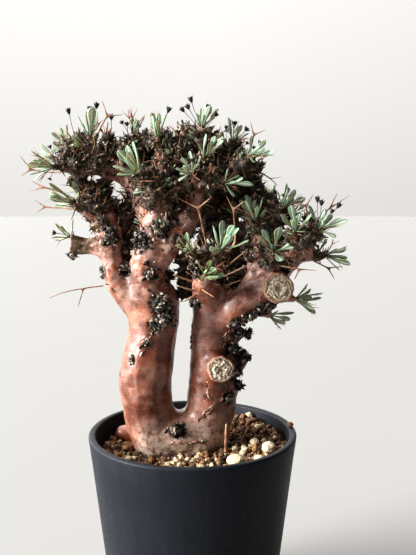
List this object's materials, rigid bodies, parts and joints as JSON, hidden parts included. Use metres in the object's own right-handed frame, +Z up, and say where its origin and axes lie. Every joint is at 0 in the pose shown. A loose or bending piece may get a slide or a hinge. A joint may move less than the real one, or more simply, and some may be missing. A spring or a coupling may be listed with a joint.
{
  "type": "potted succulent",
  "caption": "Caudiciform succulent with two stout bark-red trunks, a dense crown of leafy and dried shoots, in a plain tapered charcoal pot with gritty soil.",
  "frame": {"origin": "middle of the pot's flat underside, on the pot's own axis", "axes": "+Z up along the pot's axis; -Y is the front, the side that shows both trunks side by side and the two sawn faces; +X to the right"},
  "size_m": [0.1875, 0.1337, 0.3041],
  "materials": {
    "pot_clay": "matte",
    "soil": "matte",
    "bark": "satin",
    "leaf": "satin",
    "dry_stalk": "matte",
    "pumice": "matte"
  },
  "bodies": {
    "root": {"dry_flower_stalk_01": "dry_stalk", "dry_flower_stalk_02": "dry_stalk", "dry_flower_stalk_03": "dry_stalk", "dry_flower_stalk_04": "dry_stalk", "dry_flower_stalk_05": "dry_stalk", "dry_flower_stalk_06": "dry_stalk", "dry_flower_stalk_07": "dry_stalk", "dry_flower_stalk_08": "dry_stalk", "dry_flower_stalk_09": "dry_stalk", "dry_flower_stalk_10": "dry_stalk", "dry_flower_stalk_11": "dry_stalk", "dry_flower_stalk_12": "dry_stalk", "dry_flower_stalk_13": "dry_stalk", "dry_twig": "dry_stalk", "leaf_rosette_01": "leaf", "leaf_rosette_02": "leaf", "leaf_rosette_03": "leaf", "leaf_rosette_04": "leaf", "leaf_rosette_05": "leaf", "leaf_rosette_06": "leaf", "leaf_rosette_07": "leaf", "leaf_rosette_08": "leaf", "leaf_rosette_09": "leaf", "leaf_rosette_10": "leaf", "leaf_rosette_11": "leaf", "leaf_rosette_12": "leaf", "leaf_rosette_13": "leaf", "leaf_rosette_14": "leaf", "leaf_rosette_15": "leaf", "leaf_rosette_16": "leaf", "leaf_rosette_17": "leaf", "leaf_rosette_18": "leaf", "leaf_rosette_19": "leaf", "leaf_rosette_20": "leaf", "leaf_rosette_21": "leaf", "leaf_rosette_22": "leaf", "leaf_rosette_23": "leaf", "leaf_rosette_24": "leaf", "leaf_rosette_25": "leaf", "leaf_rosette_26": "leaf", "leaf_rosette_27": "leaf", "leaf_rosette_28": "leaf", "leaf_rosette_29": "leaf", "leaf_rosette_30": "leaf", "leaf_rosette_31": "leaf", "leaf_rosette_32": "leaf", "leaf_rosette_33": "leaf", "pot": "pot_clay", "pumice_stone_01": "pumice", "pumice_stone_02": "pumice", "pumice_stone_03": "pumice", "pumice_stone_04": "pumice", "pumice_stone_05": "pumice", "pumice_stone_06": "pumice", "pumice_stone_07": "pumice", "pumice_stone_08": "pumice", "pumice_stone_09": "pumice", "soil": "soil", "stem": "bark"}
  },
  "joints": []
}
